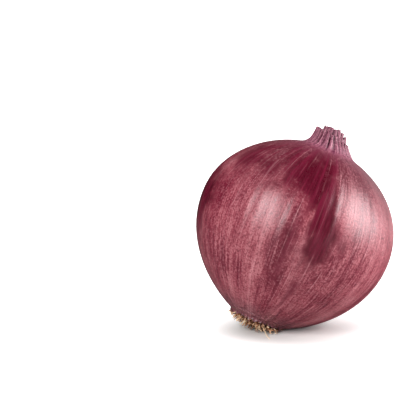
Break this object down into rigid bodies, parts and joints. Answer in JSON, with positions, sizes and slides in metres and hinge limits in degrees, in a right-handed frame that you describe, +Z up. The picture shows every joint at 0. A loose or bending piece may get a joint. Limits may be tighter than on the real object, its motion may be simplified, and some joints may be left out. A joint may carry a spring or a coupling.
{
  "type": "red onion",
  "caption": "Round red onion with a short pleated neck and dry roots, resting tilted on a small flat spot beside its root plate.",
  "frame": {"origin": "middle of the small flat spot on the lower flank that the onion rests on, on the floor", "axes": "+Z up from the floor; the bulb's own axis runs from the root plate up to the neck, leaning 22.5 degrees towards +X and 10 degrees towards +Y"},
  "size_m": [0.0756, 0.0757, 0.0765],
  "materials": {
    "onion_skin": "thin dry papery skin, wine red to mauve with pale lengthwise veins, soft satin sheen",
    "root_plate": "corky, crusted, matte brown",
    "dry_root": "shrivelled, fibrous, matte tan"
  },
  "bodies": {
    "root": {"bulb": "onion_skin", "root_01": "dry_root", "root_02": "dry_root", "root_03": "dry_root", "root_04": "dry_root", "root_05": "dry_root", "root_06": "dry_root", "root_07": "dry_root", "root_08": "dry_root", "root_09": "dry_root", "root_10": "dry_root", "root_11": "dry_root", "root_12": "dry_root", "root_13": "dry_root", "root_14": "dry_root", "root_15": "dry_root", "root_16": "dry_root", "root_17": "dry_root", "root_18": "dry_root", "root_19": "dry_root", "root_20": "dry_root", "root_21": "dry_root", "root_22": "dry_root", "root_23": "dry_root", "root_24": "dry_root", "root_25": "dry_root", "root_26": "dry_root", "root_27": "dry_root", "root_28": "dry_root", "root_29": "dry_root", "root_30": "dry_root", "root_31": "dry_root", "root_32": "dry_root", "root_33": "dry_root", "root_34": "dry_root", "root_35": "dry_root", "root_36": "dry_root", "root_37": "dry_root", "root_38": "dry_root", "root_39": "dry_root", "root_40": "dry_root", "root_plate": "root_plate"}
  },
  "joints": []
}
